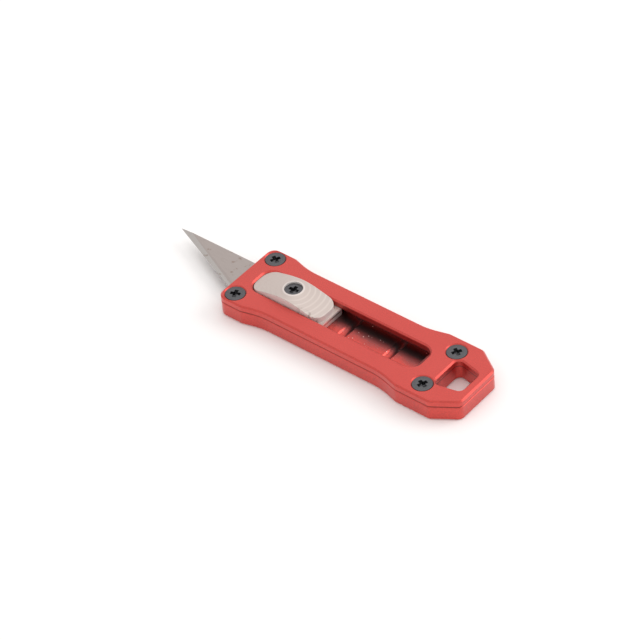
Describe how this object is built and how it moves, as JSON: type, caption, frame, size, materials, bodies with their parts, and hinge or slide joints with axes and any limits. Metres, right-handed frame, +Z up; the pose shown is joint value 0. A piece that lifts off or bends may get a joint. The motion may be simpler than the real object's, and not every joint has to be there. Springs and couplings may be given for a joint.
{
  "type": "hobby craft knife",
  "caption": "Pocket craft knife: waisted two-part body with a thumb slot, lanyard hole and a pointed hobby blade on a low conical thumb slide that clicks along the slot.",
  "frame": {"origin": "centre of the flat underside of the body, halfway along and halfway across it, without the blade", "axes": "+X along the body towards the blade's tip, +Y towards the side of the cutting edge, +Z up through the thumb slide"},
  "size_m": [0.0741, 0.0164, 0.0062],
  "materials": {
    "red_anodised": "bead-blasted, red anodised aluminium",
    "bare_metal": "as-milled bare metal with fine tool rings",
    "blade_steel": "satin ground carbon steel",
    "black_oxide": "black oxide steel, slightly glossy",
    "spring_steel": "blued spring steel strip",
    "rivet_steel": "plain steel"
  },
  "bodies": {
    "body": {"base_shell": "red_anodised", "top_plate": "red_anodised", "body_screw_front_left": "black_oxide", "body_screw_front_right": "black_oxide", "body_screw_rear_left": "black_oxide", "body_screw_rear_right": "black_oxide"},
    "blade_carriage": {"thumb_slide": "bare_metal", "blade_carrier": "bare_metal", "blade": "blade_steel", "clamp_screw": "black_oxide", "detent_spring": "spring_steel", "spring_rivet_left": "rivet_steel", "spring_rivet_right": "rivet_steel"}
  },
  "joints": [
    {"name": "blade_slide", "type": "slide", "parent": "body", "child": "blade_carriage", "axis": [-1, 0, 0], "range_m": [0, 0.0208], "deforming": ["detent_spring"]}
  ]
}
